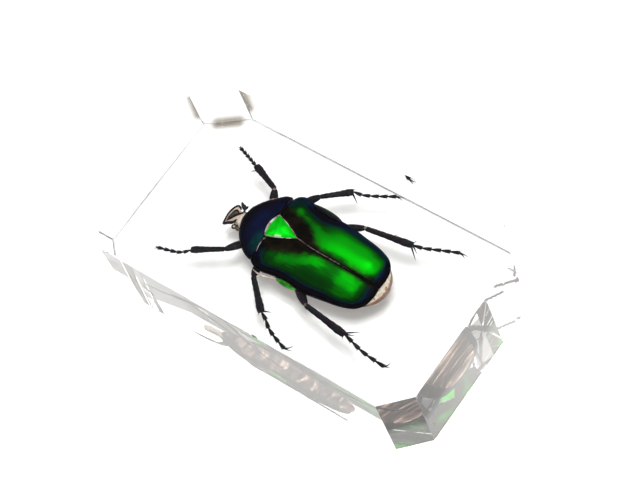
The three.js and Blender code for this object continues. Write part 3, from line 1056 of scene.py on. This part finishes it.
def build_beetle():
    """All pieces of the beetle, each with its material."""
    elytra = elytra_material()
    rim = rim_material()
    dark_rim = dark_rim_material()
    face = face_material()
    dark = leg_material()

    def shell(name, forms, material):
        return piece(name, forms, material, "beetle_shell", "beetle")

    shell("elytron_left", [elytron(-1)], elytra)
    shell("elytron_right", [elytron(1)], elytra)
    shell("elytron_hem", [elytron_hem()], rim)
    shell("pronotum", [pronotum()], pronotum_material())
    shell("pronotum_hem_right", [pronotum_hem(1, -14.2, -8.6, radius=0.12, lift=24)], rim)
    shell("pronotum_hem_left", [pronotum_hem(-1, -14.2, -8.6, radius=0.07, lift=2)], dark_rim)
    shell("scutellum", [scutellum()], scutellum_material())
    shell("scutellum_rims", scutellum_rims(), rim)
    shell("trunk", [trunk()], trunk_material())
    shell("side_plates", side_plates(), side_plate_material())
    shell("shoulder_line", [shoulder_line()], face)
    shell("head", [head()], face)
    shell("clypeus", [clypeus()], face)
    shell("clypeus_rim", [clypeus_rim()], dark_rim)
    shell("face_ridges", face_ridges(), dark_rim)
    olive = olive_material()
    shell("face_patch", [face_patch()], olive)
    shell("throat", throat(), olive)
    shell("eyes", eyes(), eye_material())
    spot, ring = mouth_parts()
    shell("mouth_spot", [spot], face)
    shell("mouth_ring", [ring], dark_rim)
    shell("antenna_right", antenna(), dark_rim)
    for name, spec in LEGS.items():
        shell(f"leg_{name}", leg(spec), dark)
    pale_knees = ("front_right", "hind_right", "hind_left")
    shell("knee_joints", [knee_joint(LEGS[name]) for name in pale_knees], joint_material())


# ---------------------------------------------------------------- the block
def outline_at(height, inset):
    """The block's eight corners at a height, drawn in by the inset."""
    half_x, half_y = (BLOCK_HIGH[:2] - BLOCK_LOW[:2]) / 2 - inset
    slant = inset * (2 - math.sqrt(2))
    points = []
    for side_x, side_y in ((-1, -1), (1, -1), (1, 1), (-1, 1)):
        cut_x, cut_y = CORNER_CUTS[(side_x, side_y)]
        along = (side_x * (half_x - cut_x + slant), side_y * half_y, height)
        across = (side_x * half_x, side_y * (half_y - cut_y + slant), height)
        points += [along, across] if side_x * side_y < 0 else [across, along]
    return points


def build_block():
    """One clear block with bevelled upper and lower edges; its lower edge is dull but at the far left."""
    low, high = BLOCK_LOW[2], BLOCK_HIGH[2]
    levels = [
        outline_at(low, EDGE_BEVEL),
        outline_at(low + EDGE_BEVEL, 0),
        outline_at(high - EDGE_BEVEL, 0),
        outline_at(high, EDGE_BEVEL),
    ]
    points = [point for level in levels for point in level]
    around = len(levels[0])
    faces = [tuple(reversed(range(around))), tuple(range(3 * around, 4 * around))]
    for i in range(3):
        for k in range(around):
            after = (k + 1) % around
            below, above = i * around, (i + 1) * around
            faces.append((below + k, below + after, above + after, above + k))
    form = (np.array(points), faces)
    block = piece("resin_block", [form], resin_material(), "clear_resin", "resin_base", "resin_top")
    block.data.shade_flat()
    block.data.materials.append(worn_edge_material())
    for side in block.data.polygons:
        # The underside and the top are the first two faces, and the lower edge comes after them.
        lower_edge = 2 <= side.index < 2 + around
        far_left = side.normal.x < -0.2 and side.normal.y > 0.2
        side.material_index = 1 if lower_edge and not far_left else 0
    return block


# ---------------------------------------------------------------- stage, light and camera
def floor_glow(s):
    """How strongly each place of the floor glows."""
    half_x, half_y = BLOCK_HIGH[:2]
    cut_x, cut_y = CORNER_CUTS[(1, -1)]
    side_y = half_y - cut_y
    past_cuts = (s.x.absolute() + s.y.absolute() - (half_x + side_y)) * math.sqrt(0.5)
    away = (s.x.absolute() - half_x).largest(s.y.absolute() - half_y).largest(past_cuts)
    right = s.x.rise(half_x - RIGHT_FADE_X, half_x) * s.y.rise(*RIGHT_FADE_Y) * RIGHT_GLOW
    end = s.near_line((half_x, -side_y), (half_x, side_y)).rise(*STRIP_FADE)
    corner = s.near_line((half_x - cut_x, -half_y), (half_x, -side_y)).rise(*STRIP_FADE)
    under = s.near_line(*BELLY_LINE).rise(*BELLY_FADE) * BELLY_GLOW
    outside = right + end.largest(corner) * STRIP_GLOW + FLOOR_GLOW
    return away.rise(*FLOOR_FADE) * outside + under + TABLE_GLOW


def build_stage():
    """A pale glowing floor, with a dark brown-grey spot under the block's far left corner, where it glows
    less.
    """
    bpy.ops.mesh.primitive_plane_add(size=FLOOR_SIZE * MM, location=(0, 0, -FLOOR_GAP * MM))
    floor = bpy.context.object
    floor.name = "floor"
    s = Surface("white_floor", Roughness=0.9, Specular_IOR_Level=0.0, Emission_Color=GLOW_COLOUR)
    # A dark brown-grey spot, where the floor's glow is also taken away.
    dark_spot = s.near_line(*DARK_SPOT_LINE).rise(*DARK_SPOT_FADE) * s.noise(0.7, detail=3).rise(-0.1, 0.5)
    s.set("Base Color", s.mix(dark_spot, FLOOR_COLOUR, DARK_SPOT_COLOUR))
    s.set("Emission Strength", floor_glow(s) * (dark_spot * -1.0 + 1.0))
    floor.data.materials.append(s.material)


def build_lamp(block):
    """A round overhead lamp; its light passes straight through the clear block."""
    lamp = bpy.data.lights.new("lamp", "SUN")
    lamp.energy = LAMP_POWER
    lamp.angle = math.radians(LAMP_ANGLE)
    lamp.cycles.use_multiple_importance_sampling = False
    made = bpy.data.objects.new("lamp", lamp)
    made.matrix_world = Vector(LAMP_WAY).to_track_quat("-Z", "Y").to_matrix().to_4x4()
    bpy.context.scene.collection.objects.link(made)
    blockers = bpy.data.collections.new("lamp_blockers")
    blockers.objects.link(block)
    for item in blockers.collection_objects:
        item.light_linking.link_state = "EXCLUDE"
    made.light_linking.blocker_collection = blockers


def build_sky():
    """A pale room with one dim side, high up behind the beetle's head, and a softbox beside it."""
    world = bpy.data.worlds.new("studio")
    bpy.context.scene.world = world
    world.use_nodes = True
    tree = world.node_tree
    coordinates = tree.nodes.new("ShaderNodeTexCoord")

    def near_way(way, inner, outer):
        """1 within the inner angle of a direction, falling to 0 at the outer one."""
        towards = tree.nodes.new("ShaderNodeVectorMath")
        towards.operation = "DOT_PRODUCT"
        towards.inputs[1].default_value = Vector(way).normalized()
        tree.links.new(coordinates.outputs["Generated"], towards.inputs[0])
        low, high = (math.cos(math.radians(angle)) for angle in (outer, inner))
        return Field(tree, towards.outputs["Value"]).rise(low, high)

    dim = near_way(SKY_DIM_WAY, *SKY_DIM_ANGLES) * (SKY_DIM_LIGHT - SKY_LIGHT)
    softbox = near_way(SOFTBOX_WAY, *SOFTBOX_ANGLES) * (SOFTBOX_LIGHT - SKY_LIGHT)
    strength = dim + softbox + SKY_LIGHT
    tree.links.new(strength.socket, tree.nodes["Background"].inputs["Strength"])
    tree.nodes["Background"].inputs["Color"].default_value = (1, 1, 1, 1)


def build_camera():
    """The photograph's camera, placed from a fit to the block's edges."""
    camera = bpy.data.cameras.new("camera")
    camera.sensor_width = SENSOR_WIDTH
    camera.lens = FOCAL_LENGTH
    camera.clip_start, camera.clip_end = 0.01, 10
    made = bpy.data.objects.new("camera", camera)
    bpy.context.scene.collection.objects.link(made)
    place = Vector(CAMERA_PLACE) * MM
    target = Vector(CAMERA_TARGET) * MM
    turn = (target - place).to_track_quat("-Z", "Y").to_matrix() @ Matrix.Rotation(CAMERA_ROLL, 3, "Z")
    made.matrix_world = Matrix.Translation(place) @ turn.to_4x4()
    bpy.context.scene.camera = made


def set_view():
    """Plain colours with slightly deeper blacks, and enough bounces for light inside the block."""
    scene = bpy.context.scene
    scene.view_settings.view_transform = "Standard"
    scene.view_settings.use_curve_mapping = True
    scene.view_settings.curve_mapping.black_level = (BLACK_LEVEL,) * 3
    scene.view_settings.curve_mapping.update()
    scene.cycles.max_bounces = 24
    scene.cycles.transmission_bounces = 24
    scene.cycles.glossy_bounces = 12


build_beetle()
block = build_block()
build_stage()
build_lamp(block)
build_sky()
build_camera()
set_view()
